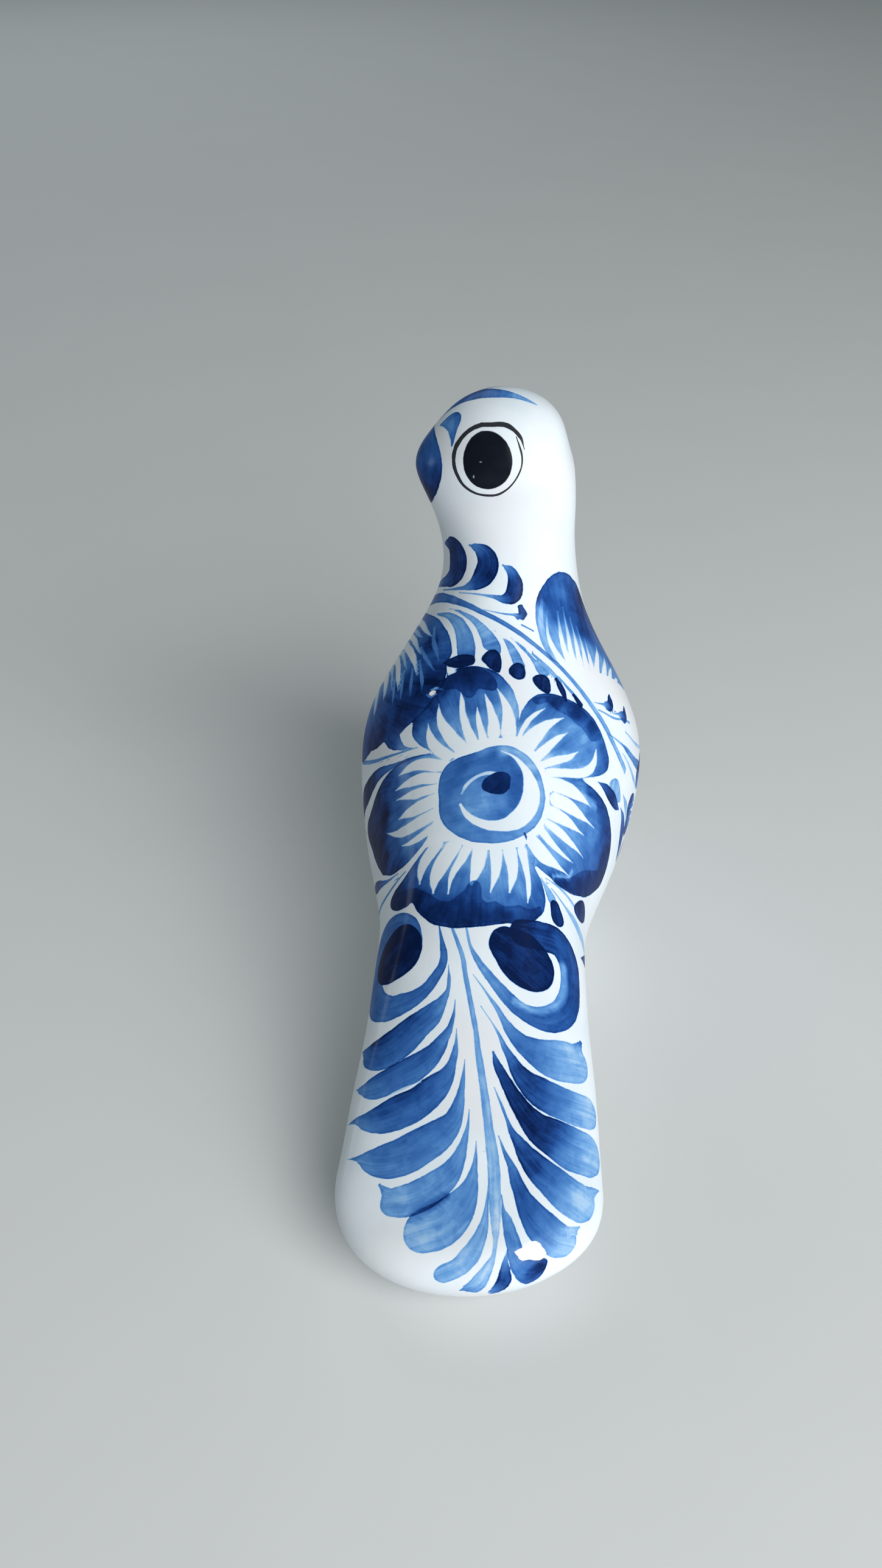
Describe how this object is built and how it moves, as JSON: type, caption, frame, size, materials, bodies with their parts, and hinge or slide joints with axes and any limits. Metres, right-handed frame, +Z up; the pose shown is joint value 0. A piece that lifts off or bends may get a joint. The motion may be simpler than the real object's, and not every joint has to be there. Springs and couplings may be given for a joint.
{
  "type": "ceramic bird figurine",
  "caption": "Hand-painted blue and white glazed earthenware bird that rests on its flat belly, with a long broad tail and its head turned to its left.",
  "frame": {"origin": "middle of the flat belly foot, on the surface the bird stands on", "axes": "+Z up, tail towards +Y, breast towards -Y, the bird's left side towards +X, where the bill points"},
  "size_m": [0.0906, 0.2224, 0.1735],
  "materials": {
    "painted_glaze": "satin"
  },
  "bodies": {
    "root": {"ceramic_bird": "painted_glaze"}
  },
  "joints": []
}
